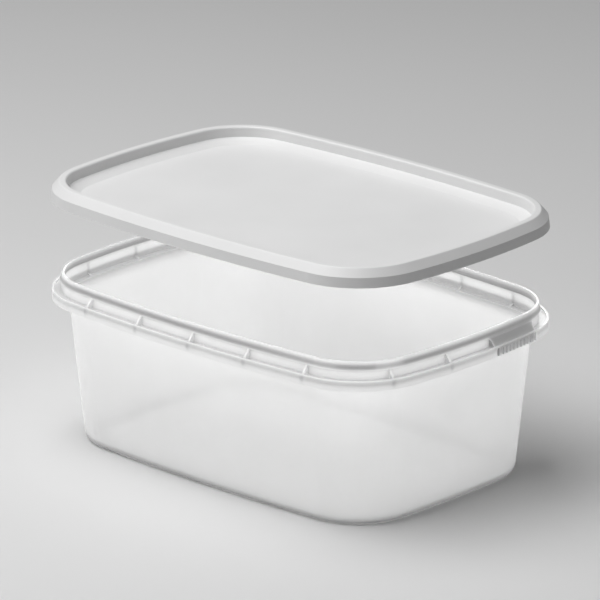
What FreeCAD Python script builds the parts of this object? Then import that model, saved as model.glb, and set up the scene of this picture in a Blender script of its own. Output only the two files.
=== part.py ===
"""Rectangular one-litre food tub with a tamper-evident rim and a lift-off lid.

Millimetres, +Z up.  The origin is the middle of the base, on the surface that the tub
stands on.  +X runs along the long side and -Y is the long side that faces the user.
Both pieces share one bowed, round-cornered outline; every rim ring is that outline
moved inwards by an inset, so a profile is drawn once as (inset, height) and carried
round the eight arcs of the outline.
"""

import FreeCAD, Part
import math
import os

# Overall sizes of the rim outline, measured at the middle of each side
rim_length = 186.0
rim_width = 130.0
tub_height = 68.5
corner_radius = 31.0
long_side_radius = 700.0
short_side_radius = 290.0

# Outline of the foot
base_length = 163.5
base_width = 108.0
base_corner_radius = 26.0
base_long_side_radius = 900.0
base_short_side_radius = 650.0

# Walls
wall = 0.8
floor_thickness = 1.2
foot_radius = 3.2
foot_ring_width = 6.0
foot_ring_depth = 0.5
easing_steps = 3

# Seat of the lid: the upstanding bead at the top of the tub
seat_inset = 4.0
seat_flare = 0.9
seat_height = 3.4
seat_thickness = 1.0
seat_edge_radius = 0.4
seat_shoulder = 0.15

# Collar: the recess below the seat, the gutter and the outer skirt
recess_inset = 3.6
gutter_drop = 7.2
collar_top_drop = 6.4
collar_bottom_drop = 10.4
ledge_drop = 9.0
wall_inset = 6.4

# Stiffening fins across the collar
fin_thickness = 0.9
fin_pitch = 28.5
fins_long_side = 5
fins_short_side = 3
fin_end_gap = 0.6
tab_side_fins = 2
tab_side_first_fin = -14.2

# Tear tab in the +X side of the collar
tab_centre = 23.5
tab_width = 22.0
tab_thickness = 1.7
tab_rib_count = 10
tab_groove_depth = 0.7
tab_groove_share = 0.45
tear_slot = 1.3
pad_foot_inset = 0.5
pad_foot_drop = 7.0
pad_end_radius = 2.0
pad_end_root = 0.1
pad_end_land = 0.5
cutter_reach = 1.0

# Lid
lid_thickness = 0.8
lid_height = 7.0
lid_band_height = 3.9
lid_band_draft = 0.5
lid_crest_inset = 3.4
lid_crest_radius = 0.9
lid_wall_clearance = 0.4
lid_top_clearance = 0.35
lid_wall_slope = 0.5
lid_recess_depth = 4.1
lid_step_width = 4.8
lid_step_depth = 1.9

# Height of the lid above its closed place
lid_lift = 36.0


def vec(x, y, z=0.0):
    """A point or direction."""
    return FreeCAD.Vector(x, y, z)


def circle_cross(centre_a, radius_a, centre_b, radius_b):
    """The crossing of two circles that lies furthest towards +X +Y."""
    across = centre_b - centre_a
    distance = across.Length
    along = (distance ** 2 + radius_a ** 2 - radius_b ** 2) / (2.0 * distance)
    height = math.sqrt(radius_a ** 2 - along ** 2)
    unit = across.normalize()
    side = vec(-unit.y, unit.x)
    foot = centre_a + unit * along
    return max((foot + side * height, foot - side * height), key=lambda p: p.x + p.y)


class Outline:
    """A round-cornered rectangle with gently bowed sides, made of eight tangent arcs."""

    def __init__(self, length, width, corner, long_radius, short_radius):
        long_centre = vec(0.0, width / 2.0 - long_radius)
        short_centre = vec(length / 2.0 - short_radius, 0.0)
        corner_centre = circle_cross(long_centre, long_radius - corner,
                                     short_centre, short_radius - corner)
        toward = corner_centre - short_centre
        start = math.degrees(math.atan2(toward.y, toward.x))
        toward = corner_centre - long_centre
        end = math.degrees(math.atan2(toward.y, toward.x))
        self.arcs = []
        for turn, sx, sy in ((0, 1, 1), (1, -1, 1), (2, -1, -1), (3, 1, -1)):
            centre = vec(corner_centre.x * sx, corner_centre.y * sy)
            if sx * sy > 0:
                low, high = start, end
            else:
                low, high = 90.0 - end, 90.0 - start
            low += 90.0 * turn
            high += 90.0 * turn
            self.arcs.append((centre, corner, low, high))
            if turn % 2 == 0:
                side_centre = vec(0.0, long_centre.y * sy)
                self.arcs.append((side_centre, long_radius, high, high + 2.0 * (90.0 - end)))
            else:
                side_centre = vec(short_centre.x * sx, 0.0)
                self.arcs.append((side_centre, short_radius, high, high + 2.0 * start))

    def wire(self, inset, z):
        """The outline moved inwards by inset, at height z."""
        edges = []
        for centre, radius, low, high in self.arcs:
            points = []
            for angle in (low, (low + high) / 2.0, high):
                turn = math.radians(angle)
                reach = vec(math.cos(turn), math.sin(turn)) * (radius - inset)
                points.append(centre + reach + vec(0.0, 0.0, z))
            edges.append(Part.Arc(*points).toShape())
        return Part.Wire(edges)

    def sweep(self, profile_face):
        """Carry a face drawn in the XZ plane, with x = -inset, once round the outline."""
        pieces = []
        for centre, radius, low, high in self.arcs:
            piece = profile_face.copy()
            piece.translate(vec(radius, 0.0))
            piece.rotate(vec(0.0, 0.0), vec(0.0, 0.0, 1.0), low)
            piece.translate(centre)
            pieces.append(piece.revolve(centre, vec(0.0, 0.0, 1.0), high - low))
        return pieces[0].multiFuse(pieces[1:]).removeSplitter()

    def end_sweep(self, profile_face, y_low, y_high):
        """Carry the profile along the +X end from one Y to another, corners included."""
        pieces = []
        for centre, radius, low, high in (self.arcs[-2], self.arcs[-1], self.arcs[0]):
            first = max(y_low, centre.y + radius * math.sin(math.radians(low)))
            last = min(y_high, centre.y + radius * math.sin(math.radians(high)))
            if first < last:
                start = math.degrees(math.asin((first - centre.y) / radius))
                end = math.degrees(math.asin((last - centre.y) / radius))
                piece = profile_face.copy()
                piece.translate(vec(radius, 0.0))
                piece.rotate(vec(0.0, 0.0), vec(0.0, 0.0, 1.0), start)
                piece.translate(centre)
                pieces.append(piece.revolve(centre, vec(0.0, 0.0, 1.0), end - start))
        return pieces[0].multiFuse(pieces[1:]) if len(pieces) > 1 else pieces[0]

    def place(self, inside, direction):
        """Where a ray from a point inside meets the outline, and the outward angle there."""
        for centre, radius, low, high in self.arcs:
            offset = inside - centre
            along = offset.dot(direction)
            square = along ** 2 - offset.dot(offset) + radius ** 2
            if square < 0.0:
                continue
            point = inside + direction * (math.sqrt(square) - along)
            angle = math.degrees(math.atan2(point.y - centre.y, point.x - centre.x)) % 360.0
            if low <= angle <= high or low <= angle + 360.0 <= high:
                return point, angle
        raise ValueError(f"the outline has no point {direction} of {inside}")

    def stations(self):
        """Places of the collar's fins: (point on the outline, outward angle)."""
        places = []
        first = self.arcs[0][0].x
        for index in range(fins_long_side):
            inside = vec(first - fin_pitch * index, 0.0)
            places.append(self.place(inside, vec(0.0, 1.0)))
            places.append(self.place(inside, vec(0.0, -1.0)))
        for index in range(fins_short_side):
            y = fin_pitch * (index - (fins_short_side - 1) / 2.0)
            places.append(self.place(vec(0.0, y), vec(-1.0, 0.0)))
        for index in range(tab_side_fins):
            y = tab_side_first_fin - fin_pitch * index
            places.append(self.place(vec(0.0, y), vec(1.0, 0.0)))
        return places


def profile(points):
    """A face in the XZ plane from (inset, height) corners."""
    corners = [vec(-inset, 0.0, height) for inset, height in points]
    return Part.Face(Part.makePolygon(corners + corners[:1]))


def eased(before, corner, after, radius):
    """Points that round a profile's corner in flat steps, between its two neighbours."""
    point = vec(corner[0], corner[1])
    back = (vec(before[0], before[1]) - point).normalize()
    ahead = (vec(after[0], after[1]) - point).normalize()
    half = back.getAngle(ahead) / 2.0
    centre = point + (back + ahead).normalize() * (radius / math.sin(half))
    start = point + back * (radius / math.tan(half)) - centre
    end = point + ahead * (radius / math.tan(half)) - centre
    points = []
    for step in range(easing_steps + 1):
        share = step / easing_steps
        blend = start * (1.0 - share) + end * share
        spot = centre + blend.normalize() * radius
        points.append((spot.x, spot.y))
    return points


def mitred(before, corner, after, thickness):
    """The corner on the other face of a sheet, which lies to the right of the path."""
    point = vec(corner[0], corner[1])
    arrive = (point - vec(before[0], before[1])).normalize()
    leave = (vec(after[0], after[1]) - point).normalize()
    normal = vec(arrive.y, -arrive.x)
    middle = (normal + vec(leave.y, -leave.x)).normalize()
    spot = point + middle * (thickness / middle.dot(normal))
    return spot.x, spot.y


def radial_plate(points, thickness, place):
    """A plate that stands across the rim: (inset, height) corners at one station."""
    point, angle = place
    plate = profile(points).extrude(vec(0.0, thickness, 0.0))
    plate.translate(vec(0.0, -thickness / 2.0, 0.0))
    plate.rotate(vec(0.0, 0.0), vec(0.0, 0.0, 1.0), angle)
    plate.translate(point)
    return plate


def tub_rim(outline):
    """Seat bead, recess wall, gutter, outer skirt and stacking ledge as one ring."""
    top = tub_height
    seat_foot = seat_inset - seat_flare
    inner = seat_inset + seat_thickness
    shell_inner = recess_inset + wall
    gutter = top - gutter_drop
    collar_top = top - collar_top_drop
    collar_bottom = top - collar_bottom_drop
    ledge = top - ledge_drop
    seat_bottom = top - seat_height
    seat_top = eased((inner, seat_bottom), (inner, top), (seat_inset, top), seat_edge_radius)
    seat_top += eased((inner, top), (seat_inset, top), (seat_foot, seat_bottom), seat_edge_radius)
    corners = seat_top + [
        (seat_foot, seat_bottom),
        (recess_inset, seat_bottom - seat_shoulder),
        (recess_inset, gutter),
        (wall, gutter),
        (wall, collar_top),
        (0.0, collar_top),
        (0.0, collar_bottom),
        (wall, collar_bottom),
        (wall, gutter - wall),
        (recess_inset, gutter - wall),
        (recess_inset, ledge - wall),
        (wall_inset + wall, ledge - wall),
        (wall_inset + wall, ledge),
        (shell_inner, ledge),
        (shell_inner, seat_bottom),
        (inner, seat_bottom + (inner - shell_inner)),
    ]
    return outline.sweep(profile(corners))


def foot_stack(foot, inset, z, radius):
    """Outlines that round the edge between floor and wall, from the floor upwards."""
    wires = []
    for step in range(easing_steps + 1):
        angle = math.pi / 2.0 * step / easing_steps
        reach = inset + radius * (1.0 - math.sin(angle))
        wires.append(foot.wire(reach, z + radius * (1.0 - math.cos(angle))))
    return wires


def tub_shell(outline, foot):
    """Tapered wall and floor below the ledge, open at the top."""
    wall_top = tub_height - ledge_drop - wall
    outer = foot_stack(foot, 0.0, 0.0, foot_radius)
    outer = Part.makeLoft(outer + [outline.wire(wall_inset, wall_top)], True, True)
    cavity = foot_stack(foot, wall, floor_thickness, foot_radius - wall)
    cavity = Part.makeLoft(cavity + [outline.wire(wall_inset + wall, wall_top)], True, True)
    recess_face = Part.Face(foot.wire(foot_radius + foot_ring_width, 0.0))
    recess = recess_face.extrude(vec(0.0, 0.0, foot_ring_depth))
    return outer.cut(cavity).cut(recess)


def collar_fins(outline):
    """Fins across the gutter and under it, at each station."""
    top = tub_height
    shoulder = top - seat_height - seat_shoulder
    upper = [
        (recess_inset + wall / 2.0, shoulder),
        (seat_inset - seat_flare, shoulder),
        (wall / 2.0, top - collar_top_drop - fin_end_gap),
        (wall / 2.0, top - gutter_drop - wall / 2.0),
        (recess_inset + wall / 2.0, top - gutter_drop - wall / 2.0),
    ]
    lower = [
        (wall / 2.0, top - gutter_drop - wall / 2.0),
        (wall / 2.0, top - collar_bottom_drop + fin_end_gap),
        (wall_inset + wall / 2.0, top - collar_bottom_drop + fin_end_gap),
        (wall_inset + wall / 2.0, top - ledge_drop - wall / 2.0),
        (recess_inset + wall / 2.0, top - gutter_drop - wall / 2.0),
    ]
    fins = []
    for place in outline.stations():
        fins.append(radial_plate(upper, fin_thickness, place))
        fins.append(radial_plate(lower, fin_thickness, place))
    return fins


def pad_end(outline, y_end, side):
    """The rounded end of the recess beside the pad: a web with a quarter-round hollow."""
    top = tub_height
    web_foot = top - seat_height - pad_end_radius
    slope = (seat_inset - seat_flare - pad_foot_inset) / (pad_foot_drop - seat_height)
    web = profile([
        (recess_inset + wall / 2.0, top - seat_height + wall / 2.0),
        (seat_inset - seat_flare, top - seat_height),
        (seat_inset - seat_flare - slope * pad_end_radius, web_foot),
        (recess_inset + wall / 2.0, web_foot),
    ])
    middle = y_end + side * (pad_end_radius - pad_end_root)
    start, tip = y_end - side * wall, middle - side * pad_end_land
    web = outline.end_sweep(web, min(start, tip), max(start, tip))
    hollow = Part.makeCylinder(pad_end_radius, rim_length, vec(0.0, middle, web_foot), vec(1.0, 0.0))
    return web.cut(hollow)


def tear_tab(outline):
    """Pieces to add and to cut for the tear tab: the pad above it, the tab, its slots."""
    top = tub_height
    low, high = tab_centre - tab_width / 2.0, tab_centre + tab_width / 2.0
    pad_low, pad_high = low - tear_slot - wall, high + tear_slot + wall
    pad = profile([
        (recess_inset + wall / 2.0, top - seat_height + wall / 2.0),
        (seat_inset - seat_flare, top - seat_height),
        (pad_foot_inset, top - pad_foot_drop),
        (pad_foot_inset, top - gutter_drop - wall / 2.0),
        (recess_inset + wall / 2.0, top - gutter_drop - wall / 2.0),
    ])
    plate = profile([
        (0.0, top - pad_foot_drop),
        (0.0, top - collar_bottom_drop),
        (tab_thickness, top - collar_bottom_drop),
        (tab_thickness, top - gutter_drop),
    ])
    added = [
        outline.end_sweep(pad, pad_low, pad_high),
        outline.end_sweep(plate, low, high),
        pad_end(outline, pad_low, -1),
        pad_end(outline, pad_high, 1),
    ]
    slot = profile([
        (-cutter_reach, top - pad_foot_drop),
        (-cutter_reach, top - collar_bottom_drop - cutter_reach),
        (tab_thickness, top - collar_bottom_drop - cutter_reach),
        (tab_thickness, top - gutter_drop - wall),
        (wall, top - gutter_drop - wall),
        (wall, top - pad_foot_drop),
    ])
    groove = profile([
        (-cutter_reach, top - pad_foot_drop),
        (-cutter_reach, top - collar_bottom_drop - cutter_reach),
        (tab_groove_depth, top - collar_bottom_drop - cutter_reach),
        (tab_groove_depth, top - pad_foot_drop - tab_groove_depth),
    ])
    cuts = [
        outline.end_sweep(slot, low - tear_slot, low),
        outline.end_sweep(slot, high, high + tear_slot),
    ]
    pitch = tab_width / tab_rib_count
    for index in range(1, tab_rib_count):
        middle = low + pitch * index
        half = pitch * tab_groove_share / 2.0
        cuts.append(outline.end_sweep(groove, middle - half, middle + half))
    return added, cuts


def make_tub(outline, foot):
    """The tub in one piece."""
    added, cuts = tear_tab(outline)
    rim = tub_rim(outline).multiFuse(collar_fins(outline) + added)
    for tool in cuts:
        rim = rim.cut(tool)
    return rim.fuse(tub_shell(outline, foot)).removeSplitter()


def make_lid(outline):
    """The lid in one piece, modelled in its lifted place."""
    closed_top = tub_height + lid_top_clearance + lid_thickness
    crest = closed_top + lid_lift
    base = crest - lid_height
    wall_top = seat_inset + seat_thickness + lid_wall_clearance + lid_thickness
    wall_bottom = wall_top + lid_wall_slope
    floor = crest - lid_recess_depth
    panel = floor - lid_step_depth
    panel_inset = wall_bottom + lid_step_width
    panel_end = panel_inset + lid_thickness
    path = [
        (0.0, base),
        (lid_band_draft, base + lid_band_height),
        (lid_crest_inset, crest),
        (wall_top, crest),
        (wall_bottom, floor),
        (panel_inset, panel),
        (panel_end, panel),
    ]
    outside = [
        *path[:2],
        *eased(path[1], path[2], path[3], lid_crest_radius),
        *eased(path[2], path[3], path[4], lid_crest_radius),
        *path[4:],
    ]
    inside = [(panel_end, panel - lid_thickness)]
    for index in range(len(path) - 2, 0, -1):
        inside.append(mitred(path[index - 1], path[index], path[index + 1], lid_thickness))
    inside.append((lid_thickness, base))
    ring = outline.sweep(profile(outside + inside))
    plate = Part.Face(outline.wire(panel_end - lid_thickness / 2.0, panel - lid_thickness))
    return ring.fuse(plate.extrude(vec(0.0, 0.0, lid_thickness))).removeSplitter()


def main():
    """Build both pieces and write one STEP file for each."""
    outline = Outline(rim_length, rim_width, corner_radius, long_side_radius, short_side_radius)
    foot = Outline(base_length, base_width, base_corner_radius,
                   base_long_side_radius, base_short_side_radius)
    pieces = {"tub": make_tub(outline, foot), "lid": make_lid(outline)}
    os.makedirs("parts", exist_ok=True)
    for name, shape in pieces.items():
        if len(shape.Solids) != 1:
            raise ValueError(f"{name} came out as {len(shape.Solids)} solids")
        solid = shape.Solids[0]
        solid.exportStep(f"parts/{name}.step")
        print(name, "volume", round(solid.Volume), "mm3, valid", solid.isValid())


if __name__ == "__main__":
    main()
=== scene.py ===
"""Looks of a rectangular one-litre food tub with a tamper-evident rim and a lift-off lid.

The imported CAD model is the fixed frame: both mouldings keep the shapes that it gives them,
and this script gives them their plastics, sets them on a pale studio floor and lights them.
Lengths are in metres unless a name ends in _mm.
"""

from __future__ import annotations

import logging
import math
from dataclasses import dataclass, field
from enum import Enum
from typing import Any, Sequence

import bpy
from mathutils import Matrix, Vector


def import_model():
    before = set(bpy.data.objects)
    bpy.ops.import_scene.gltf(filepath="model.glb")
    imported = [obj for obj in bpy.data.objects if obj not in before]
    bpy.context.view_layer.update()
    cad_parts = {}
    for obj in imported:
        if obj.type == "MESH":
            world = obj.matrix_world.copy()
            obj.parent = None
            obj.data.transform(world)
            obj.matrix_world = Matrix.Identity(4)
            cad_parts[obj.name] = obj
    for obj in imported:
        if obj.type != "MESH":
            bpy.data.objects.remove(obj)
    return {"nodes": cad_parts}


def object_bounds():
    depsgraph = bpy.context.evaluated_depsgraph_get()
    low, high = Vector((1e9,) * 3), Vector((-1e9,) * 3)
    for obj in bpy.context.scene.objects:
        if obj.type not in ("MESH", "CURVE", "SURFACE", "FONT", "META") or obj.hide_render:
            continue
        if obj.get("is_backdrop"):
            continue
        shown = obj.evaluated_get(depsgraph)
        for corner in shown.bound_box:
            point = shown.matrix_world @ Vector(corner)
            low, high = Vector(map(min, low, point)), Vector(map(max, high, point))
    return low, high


MM = 0.001
WHITE = "#FFFFFF"

# Some nodes repeat the names of their sockets, so these sockets go by number.
MATH_A, MATH_B = 0, 1
SHADER_A, SHADER_B = 1, 2
MIX_FACTOR, MIX_A, MIX_B, MIX_RESULT = 0, 6, 7, 2

# Detail of every noise, strength of every bump, and rays that feel how open a face is.
NOISE_DETAIL = 2.0
BUMP_STRENGTH = 0.5
FEELER_RAYS = 3

log = logging.getLogger("food_tub")

Colour = tuple[float, float, float, float]
Links = dict[str | int, bpy.types.NodeSocket]


def linear(hex_code: str) -> Colour:
    """Turn an sRGB hex colour into the linear colour that shaders work in.

    The numbers in it are those of the sRGB standard.

    Args:
        hex_code: Six hex digits with a leading hash sign.

    Returns:
        Linear red, green and blue, with an alpha of 1.
    """
    channels = [int(hex_code[i:i + 2], 16) / 255.0 for i in (1, 3, 5)]
    red, green, blue = (
        c / 12.92 if c <= 0.04045 else ((c + 0.055) / 1.055) ** 2.4 for c in channels
    )
    return red, green, blue, 1.0


def add_node(
    tree: bpy.types.NodeTree,
    kind: str,
    settings: dict[str | int, Any] | None = None,
    links: Links | None = None,
) -> bpy.types.Node:
    """Add a shader node, set its properties and sockets, and link its inputs.

    Args:
        tree: Node tree that receives the node.
        kind: Blender's type name of the node.
        settings: Property names, input names or input numbers, with their values.
        links: Input names or numbers, with the output sockets that feed them.

    Returns:
        The new node.
    """
    node = tree.nodes.new(kind)
    for key, value in (settings or {}).items():
        if isinstance(key, int) or key in node.inputs:
            node.inputs[key].default_value = value
        else:
            setattr(node, key, value)
    for key, socket in (links or {}).items():
        tree.links.new(socket, node.inputs[key])
    return node


def new_material(name: str) -> tuple[bpy.types.Material, bpy.types.NodeTree]:
    """Create a material with an empty node tree.

    Args:
        name: Name of the material.

    Returns:
        The material and its tree.
    """
    material = bpy.data.materials.new(name)
    material.use_nodes = True
    material.node_tree.nodes.clear()
    return material, material.node_tree


class Piece(Enum):
    """The mouldings, by the name of their CAD node."""

    TUB = "tub"
    LID = "lid"


class LightSide(Enum):
    """Softboxes of the studio, named by where they stand round the tub."""

    OVERHEAD = "overhead"
    TUB_TOP = "tub_top"
    BACK = "back"
    LEFT = "left"
    FRONT = "front"
    TUB_FRONT = "tub_front"
    RIGHT = "right"


@dataclass(frozen=True)
class CloudedFace:
    """The face of a plastic or a paper: wide, faint clouds and a fine grain.

    On a moulding the clouds show where the melt flowed and cooled at different speeds, and
    the grain is orange peel or the mould's own texture. On paper they are uneven pulp and
    its fibres.

    Attributes:
        body: Colour of the face.
        cloud: Colour in the darkest clouds.
        roughness: Middle roughness of the face.
        roughness_spread: How far the clouds move it either way.
        cloud_width_mm: Width of a cloud.
        grain_width_mm: Width of a grain.
        grain_height_mm: Height of a grain.
    """

    body: str
    cloud: str
    roughness: float
    roughness_spread: float
    cloud_width_mm: float
    grain_width_mm: float
    grain_height_mm: float

    def build(self, tree: bpy.types.NodeTree) -> Links:
        """Add the nodes of the face.

        Args:
            tree: Node tree of the material.

        Returns:
            The face's sockets, by the Principled input that each one feeds.
        """
        place = add_node(tree, "ShaderNodeTexCoord")
        clouds = add_node(
            tree, "ShaderNodeTexNoise",
            {"Scale": 1.0 / (self.cloud_width_mm * MM), "Detail": NOISE_DETAIL},
            {"Vector": place.outputs["Object"]},
        )
        tint = add_node(
            tree, "ShaderNodeMix",
            {"data_type": "RGBA", MIX_A: linear(self.cloud), MIX_B: linear(self.body)},
            {MIX_FACTOR: clouds.outputs["Fac"]},
        )
        gloss = add_node(
            tree, "ShaderNodeMapRange",
            {"To Min": self.roughness - self.roughness_spread,
             "To Max": self.roughness + self.roughness_spread},
            {"Value": clouds.outputs["Fac"]},
        )
        grain = add_node(
            tree, "ShaderNodeTexNoise",
            {"Scale": 1.0 / (self.grain_width_mm * MM), "Detail": NOISE_DETAIL},
            {"Vector": place.outputs["Object"]},
        )
        bump = add_node(
            tree, "ShaderNodeBump",
            {"Strength": BUMP_STRENGTH, "Distance": self.grain_height_mm * MM},
            {"Height": grain.outputs["Fac"]},
        )
        return {
            "Base Color": tint.outputs[MIX_RESULT],
            "Roughness": gloss.outputs["Result"],
            "Normal": bump.outputs["Normal"],
        }


@dataclass(frozen=True)
class NaturalPolypropylene:
    """Uncoloured injection-moulded polypropylene: a milky, satin, translucent skin.

    The clear resin crystallises as it cools in the mould, so light comes through it
    blurred and slightly white. A wall of under a millimetre glows with the light behind
    it; ribs and folded edges hold more resin, let less through and are painted a soft
    grey as shade. The narrow folds of the rim get a painted shade as well. The polished
    mould leaves a gentle gloss with a faint orange peel from the flow of the melt.

    Attributes:
        name: Name of the material.
        skin: Face that the mould leaves.
        thick_resin_shade: Painted shade: the grey given where the resin is thick, in ribs and
            folded edges.
        ior: Refractive index of polypropylene.
        see_through_thin: Share of light that passes a thin wall's face unblurred.
        see_through_thick: The same where the resin is thick.
        thick_reach_mm: How deep the resin behind a face is felt.
        thin_level: Reading, 0 closed to 1 open, behind the face of a thin wall.
        thick_level: Reading behind the face of a rib or a folded edge.
        scatter_share: Share of the rest that the face passes on blurred.
        crevice_painted_shade: Painted shade: a grey multiplied into the colour in a narrow
            gutter.
        crevice_reach_mm: Distance within which a facing wall makes a gutter.
        inside_level: Reading up to which a face lies within the wall and isn't dimmed.
        gutter_level: Reading in a narrow gutter, where the painted shade is strongest.
        open_level: Reading from which a face counts as open and isn't dimmed.
    """

    name: str = "natural_polypropylene_moulded"
    # The orange peel is drawn at about its real size, ripples of one or two millimetres.
    skin: CloudedFace = CloudedFace(
        body="#FAFAFA", cloud="#F3F3F3", roughness=0.24, roughness_spread=0.06,
        cloud_width_mm=24.0, grain_width_mm=1.6, grain_height_mm=0.006,
    )
    thick_resin_shade: str = "#8E8E8E"
    ior: float = 1.49
    see_through_thin: float = 0.46
    see_through_thick: float = 0.1
    thick_reach_mm: float = 1.6
    thin_level: float = 0.32
    thick_level: float = 0.74
    scatter_share: float = 0.5
    crevice_painted_shade: str = "#B8B8B8"
    crevice_reach_mm: float = 5.0
    inside_level: float = 0.10
    gutter_level: float = 0.22
    open_level: float = 0.92

    def thickness(self, tree: bpy.types.NodeTree) -> bpy.types.NodeSocket:
        """Add the nodes that feel how much resin lies behind a face.

        The resin is felt on both sides of the face and the smaller reading counts, so a
        face reads the same from the air and from within the wall.

        Args:
            tree: Node tree of the material.

        Returns:
            A socket that runs from 0 in a thin wall to 1 in a thick place.
        """
        inward, outward = (
            add_node(
                tree, "ShaderNodeAmbientOcclusion",
                {"inside": inside, "samples": FEELER_RAYS,
                 "Distance": self.thick_reach_mm * MM},
            )
            for inside in (True, False)
        )
        smaller = add_node(
            tree, "ShaderNodeMath", {"operation": "MINIMUM"},
            {MATH_A: inward.outputs["AO"], MATH_B: outward.outputs["AO"]},
        )
        dense = add_node(
            tree, "ShaderNodeMapRange",
            {"From Min": self.thin_level, "From Max": self.thick_level},
            {"Value": smaller.outputs["Value"]},
        )
        return dense.outputs["Result"]

    def painted_crevice_shade(self, tree: bpy.types.NodeTree) -> bpy.types.NodeSocket:
        """Add the nodes that feel how deep in a gutter or a pocket a face lies.

        This is painted shade and no property of the resin: it darkens the narrow folds of
        the rim, so that they read as folds. Within the wall the reading is close to
        nothing, and the ramp leaves that alone.

        Args:
            tree: Node tree of the material.

        Returns:
            A colour socket: white on open faces, grey painted shade where the rim folds in.
        """
        openness = add_node(
            tree, "ShaderNodeAmbientOcclusion",
            {"inside": False, "samples": FEELER_RAYS,
             "Distance": self.crevice_reach_mm * MM},
        )
        ramp = add_node(tree, "ShaderNodeValToRGB", {}, {"Fac": openness.outputs["AO"]})
        steps = ramp.color_ramp.elements
        steps[0].position, steps[0].color = self.inside_level, linear(WHITE)
        steps[1].position, steps[1].color = self.open_level, linear(WHITE)
        steps.new(self.gutter_level).color = linear(self.crevice_painted_shade)
        return ramp.outputs["Color"]

    def material(self) -> bpy.types.Material:
        """Build the shader.

        Returns:
            The material.
        """
        material, tree = new_material(self.name)
        face = self.skin.build(tree)
        dense = self.thickness(tree)
        # Painted shade: a grey multiplied into the face's colour in the rim's narrow gutters.
        shaded = add_node(
            tree, "ShaderNodeMix",
            {"data_type": "RGBA", "blend_type": "MULTIPLY", MIX_FACTOR: 1.0},
            {MIX_A: face["Base Color"], MIX_B: self.painted_crevice_shade(tree)},
        )
        # Painted shade: thick ribs and folded edges are greyed; only their lower see-through
        # is the resin's own.
        milk_and_painted_shade = add_node(
            tree, "ShaderNodeMix", {"data_type": "RGBA", MIX_B: linear(self.thick_resin_shade)},
            {MIX_FACTOR: dense, MIX_A: shaded.outputs[MIX_RESULT]},
        )
        see = add_node(
            tree, "ShaderNodeMapRange",
            {"To Min": self.see_through_thin, "To Max": self.see_through_thick},
            {"Value": dense},
        )
        surface = add_node(
            tree, "ShaderNodeBsdfPrincipled", {"IOR": self.ior},
            {**face, "Base Color": milk_and_painted_shade.outputs[MIX_RESULT]},
        )
        through = add_node(
            tree, "ShaderNodeBsdfTranslucent", {},
            {"Color": milk_and_painted_shade.outputs[MIX_RESULT], "Normal": face["Normal"]},
        )
        milky = add_node(
            tree, "ShaderNodeMixShader", {"Fac": self.scatter_share},
            {SHADER_A: surface.outputs["BSDF"], SHADER_B: through.outputs["BSDF"]},
        )
        clear = add_node(
            tree, "ShaderNodeBsdfTransparent", {"Color": linear(self.skin.body)},
        )
        resin = add_node(
            tree, "ShaderNodeMixShader", {},
            {"Fac": see.outputs["Result"], SHADER_A: milky.outputs["Shader"],
             SHADER_B: clear.outputs["BSDF"]},
        )
        add_node(tree, "ShaderNodeOutputMaterial", {}, {"Surface": resin.outputs["Shader"]})
        return material


@dataclass(frozen=True)
class WhitePolypropylene:
    """Polypropylene filled with titanium white and moulded with a fine matt texture.

    The pigment stops nearly all light inside a fraction of a millimetre, which gives a
    flat, soft white; the eroded mould surface leaves a fine grain and a wide, dull sheen.

    Attributes:
        name: Name of the material.
        skin: Face that the mould leaves.
        ior: Refractive index of polypropylene.
        scatter_radius_mm: How far light spreads under the face.
        scatter_colours: The share of that radius for red, green and blue: all alike.
        scatter_share: Share of the light that spreads so.
    """

    name: str = "white_polypropylene_moulded"
    # An eroded mould has a grain of about 0.1 mm, too fine to show: it is drawn coarser.
    skin: CloudedFace = CloudedFace(
        body="#EAEAEA", cloud="#E3E3E3", roughness=0.42, roughness_spread=0.05,
        cloud_width_mm=30.0, grain_width_mm=0.7, grain_height_mm=0.01,
    )
    ior: float = 1.49
    scatter_radius_mm: float = 0.6
    scatter_colours: tuple[float, float, float] = (1.0, 1.0, 1.0)
    scatter_share: float = 0.3

    def material(self) -> bpy.types.Material:
        """Build the shader.

        Returns:
            The material.
        """
        material, tree = new_material(self.name)
        surface = add_node(
            tree, "ShaderNodeBsdfPrincipled",
            {"IOR": self.ior, "Subsurface Weight": self.scatter_share,
             "Subsurface Radius": self.scatter_colours,
             "Subsurface Scale": self.scatter_radius_mm * MM},
            self.skin.build(tree),
        )
        add_node(tree, "ShaderNodeOutputMaterial", {}, {"Surface": surface.outputs["BSDF"]})
        return material


@dataclass(frozen=True)
class StudioPaper:
    """Matt seamless background paper: an even pale grey with no gloss and a soft fibre.

    Attributes:
        name: Name of the material.
        skin: Face of the paper, with its clouds and fibres.
    """

    name: str = "studio_paper"
    # Paper fibres are a few hundredths of a millimetre wide: they are drawn far coarser.
    skin: CloudedFace = CloudedFace(
        body="#DEDEDE", cloud="#DBDBDB", roughness=0.9, roughness_spread=0.03,
        cloud_width_mm=220.0, grain_width_mm=1.2, grain_height_mm=0.02,
    )

    def material(self) -> bpy.types.Material:
        """Build the shader.

        Returns:
            The material.
        """
        material, tree = new_material(self.name)
        surface = add_node(tree, "ShaderNodeBsdfPrincipled", {}, self.skin.build(tree))
        add_node(tree, "ShaderNodeOutputMaterial", {}, {"Surface": surface.outputs["BSDF"]})
        return material


@dataclass
class Moulding:
    """One moulded piece: a CAD node that keeps its shape and gets its plastic.

    Attributes:
        piece: Which piece this is.
        plastic: Finish of the piece.
    """

    piece: Piece
    plastic: NaturalPolypropylene | WhitePolypropylene

    def dress(self, nodes: dict[str, bpy.types.Object]) -> bpy.types.Object:
        """Give the node its plastic.

        Args:
            nodes: The CAD nodes of the frame, by name.

        Returns:
            The dressed object.
        """
        moulding = nodes[self.piece.value]
        plastic = self.plastic.material()
        if not moulding.material_slots:
            moulding.data.materials.append(plastic)
        for slot in moulding.material_slots:
            slot.material = plastic
        return moulding


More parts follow.
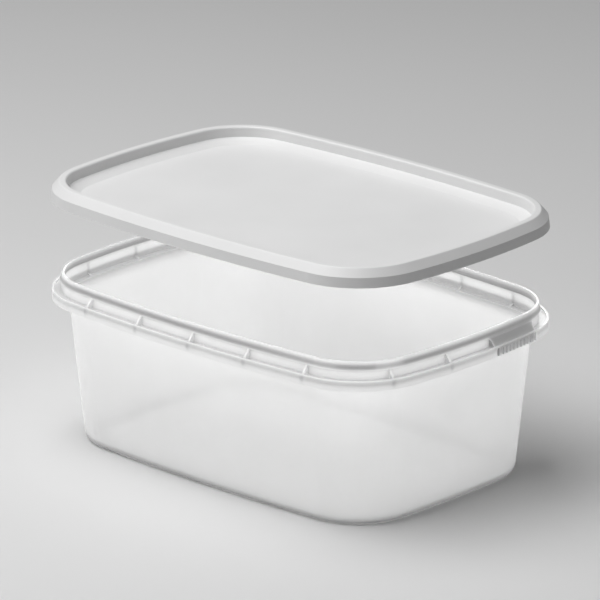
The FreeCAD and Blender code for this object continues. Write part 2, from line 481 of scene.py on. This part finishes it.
@dataclass
class Tub(Moulding):
    """The open tub: tapered walls, folded rim with its ribs, tear tab and foot ring."""

    piece: Piece = Piece.TUB
    plastic: NaturalPolypropylene = field(default_factory=NaturalPolypropylene)


@dataclass
class Lid(Moulding):
    """The lid: sunk panel, rounded crest and skirt."""

    piece: Piece = Piece.LID
    plastic: WhitePolypropylene = field(default_factory=WhitePolypropylene)


@dataclass
class Softbox:
    """A rectangular area light that faces a point.

    Attributes:
        side: Which softbox this is.
        place: Middle of the lit face.
        aim: Point that it faces.
        size: Width and height of the lit face.
        power: Radiant power in watts.
        lights: Pieces that it lights; everything where empty.
        shaded_by: Pieces that cast a shadow in its light; everything where empty.
    """

    side: LightSide
    place: Vector
    aim: Vector
    size: tuple[float, float]
    power: float
    lights: tuple[Piece, ...] = ()
    shaded_by: tuple[Piece, ...] = ()

    def build(self, nodes: dict[str, bpy.types.Object]) -> bpy.types.Object:
        """Create the light in the scene.

        Args:
            nodes: The CAD nodes, for a softbox that is flagged off from some of them.

        Returns:
            The light.
        """
        lamp = bpy.data.lights.new(f"softbox_{self.side.value}", "AREA")
        lamp.shape = "RECTANGLE"
        lamp.size, lamp.size_y = self.size
        lamp.energy = self.power
        light = bpy.data.objects.new(lamp.name, lamp)
        light.location = self.place
        light.rotation_euler = (self.aim - self.place).to_track_quat("-Z", "Y").to_euler()
        bpy.context.scene.collection.objects.link(light)
        linking = light.light_linking
        if self.lights:
            linking.receiver_collection = self.group("lit_by", self.lights, nodes)
        if self.shaded_by:
            linking.blocker_collection = self.group("shades", self.shaded_by, nodes)
        return light

    def group(
        self, role: str, pieces: tuple[Piece, ...], nodes: dict[str, bpy.types.Object],
    ) -> bpy.types.Collection:
        """Collect the pieces that the light treats apart.

        Args:
            role: What the pieces are to the light.
            pieces: The pieces.
            nodes: The CAD nodes, by name.

        Returns:
            A collection of their nodes, outside the scene's own tree.
        """
        collection = bpy.data.collections.new(f"{role}_{self.side.value}")
        for piece in pieces:
            collection.objects.link(nodes[piece.value])
        return collection


@dataclass
class Studio:
    """Pale floor, soft lights and camera round the object.

    Attributes:
        azimuth_deg: Camera's turn about the vertical; 0 looks along +Y.
        elevation_deg: Camera's height above the horizon.
        distance: From the camera to the point that it aims at.
        lens_mm: Focal length on the sensor below.
        sensor_mm: Width of the sensor.
        sight: Farthest that the camera sees.
        aim: Point in the middle of the view.
        lights_aim: Point that the softboxes face, near the top of the tub.
        floor_size: Side of the square floor.
        ambient: Strength of the even light from all round.
        paper: Finish of the floor.
        bounces: Most bounces of a ray, enough to cross the tub's milky walls.
        diffuse_bounces: Most of them that may be diffuse.
        faces_seen_through: Most clear faces that a ray passes straight through.
    """

    azimuth_deg: float = 43.16
    elevation_deg: float = 18.58
    distance: float = 2.2
    lens_mm: float = 340.6
    sensor_mm: float = 36.0
    sight: float = 50.0
    aim: Vector = field(default_factory=lambda: Vector((0.0005, 0.0004, 0.0623)))
    lights_aim: Vector = field(default_factory=lambda: Vector((0.0, 0.0, 0.06)))
    floor_size: float = 6.0
    ambient: float = 0.08
    paper: StudioPaper = field(default_factory=StudioPaper)
    bounces: int = 16
    diffuse_bounces: int = 8
    faces_seen_through: int = 24

    def back_vector(self) -> Vector:
        """Turn the camera's two angles into a direction.

        Returns:
            Unit vector from the aim point towards the camera.
        """
        turn, rise = math.radians(self.azimuth_deg), math.radians(self.elevation_deg)
        return Vector((
            math.sin(turn) * math.cos(rise), -math.cos(turn) * math.cos(rise), math.sin(rise),
        ))

    def build_camera(self) -> bpy.types.Object:
        """Create the camera and make it the scene's own.

        Returns:
            The camera.
        """
        data = bpy.data.cameras.new("studio_camera")
        data.lens = self.lens_mm
        data.sensor_width = self.sensor_mm
        data.clip_end = self.sight
        camera = bpy.data.objects.new(data.name, data)
        camera.location = self.aim + self.back_vector() * self.distance
        camera.rotation_euler = self.back_vector().to_track_quat("Z", "Y").to_euler()
        bpy.context.scene.collection.objects.link(camera)
        bpy.context.scene.camera = camera
        return camera

    def build_floor(self, level: float) -> bpy.types.Object:
        """Lay the floor.

        Args:
            level: Height of the surface that the tub stands on.

        Returns:
            The floor, marked as stage.
        """
        half = self.floor_size / 2.0
        corners = [(-half, -half, level), (half, -half, level),
                   (half, half, level), (-half, half, level)]
        mesh = bpy.data.meshes.new("floor")
        mesh.from_pydata(corners, [], [(0, 1, 2, 3)])
        mesh.materials.append(self.paper.material())
        floor = bpy.data.objects.new("floor", mesh)
        bpy.context.scene.collection.objects.link(floor)
        floor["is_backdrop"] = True
        return floor

    def softboxes(self) -> tuple[Softbox, ...]:
        """Place the studio's softboxes.

        The milky tub needs more light than the white lid, so five of the seven are flagged
        off the lid and the floor, and the one above the tub shines past the lid too. Flags
        in a real studio could only come near that.

        Returns:
            The softboxes, from the top round to the right.
        """
        aim = self.lights_aim
        tub = (Piece.TUB,)
        # Side, place, aim, size in metres and power in watts of each.
        return (
            Softbox(LightSide.OVERHEAD, Vector((-0.24, -0.3, 1.15)), aim, (1.0, 1.0), 14.6),
            Softbox(LightSide.TUB_TOP, Vector((0.0, 0.0, 0.8)), aim, (0.9, 0.9), 10.0,
                    lights=tub, shaded_by=tub),
            Softbox(LightSide.BACK, Vector((-0.3, 1.2, 0.3)), aim, (1.4, 0.4), 29.0,
                    lights=tub),
            Softbox(LightSide.LEFT, Vector((-1.2, -0.1, 0.3)), aim, (1.2, 0.4), 16.0,
                    lights=tub),
            Softbox(LightSide.FRONT, Vector((-0.3, -1.3, 0.4)), aim, (1.0, 0.5), 1.2),
            Softbox(LightSide.TUB_FRONT, Vector((-0.2, -1.3, 0.3)), aim, (1.0, 0.4), 11.0,
                    lights=tub),
            Softbox(LightSide.RIGHT, Vector((1.3, 0.0, 0.3)), aim, (1.0, 0.4), 14.0,
                    lights=tub),
        )

    def light_air(self) -> None:
        """Light the scene evenly from all round."""
        world = bpy.data.worlds.new("studio_air")
        world.use_nodes = True
        tree = world.node_tree
        tree.nodes.clear()
        air = add_node(
            tree, "ShaderNodeBackground",
            {"Color": linear(WHITE), "Strength": self.ambient},
        )
        add_node(tree, "ShaderNodeOutputWorld", {}, {"Surface": air.outputs["Background"]})
        bpy.context.scene.world = world

    def set_view_and_paths(self) -> None:
        """Show colours as they are and let light cross the tub's many milky faces."""
        view = bpy.context.scene.view_settings
        view.view_transform = "Standard"
        view.look = "None"
        view.exposure = 0.0
        paths = bpy.context.scene.cycles
        paths.max_bounces = self.bounces
        paths.diffuse_bounces = self.diffuse_bounces
        paths.transparent_max_bounces = self.faces_seen_through

    def build(
        self, level: float, nodes: dict[str, bpy.types.Object],
    ) -> list[bpy.types.Object]:
        """Set up floor, air, lights and camera.

        Args:
            level: Height of the floor.
            nodes: The CAD nodes, for the softboxes that light only some of them.

        Returns:
            The floor, the lights and the camera.
        """
        floor = self.build_floor(level)
        self.light_air()
        lights = [softbox.build(nodes) for softbox in self.softboxes()]
        camera = self.build_camera()
        self.set_view_and_paths()
        return [floor, *lights, camera]


def main() -> None:
    """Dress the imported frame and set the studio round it."""
    logging.basicConfig(level=logging.INFO, format="%(name)s: %(message)s")
    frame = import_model()
    nodes = frame["nodes"]
    cad_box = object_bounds()
    for moulding in (Tub(), Lid()):
        dressed = moulding.dress(nodes)
        log.info("%s: one moulding in %s", dressed.name, moulding.plastic.name)
    for fitting in Studio().build(level=cad_box[0][2], nodes=nodes):
        log.info("%s: in the studio", fitting.name)


if __name__ == "__main__":
    main()
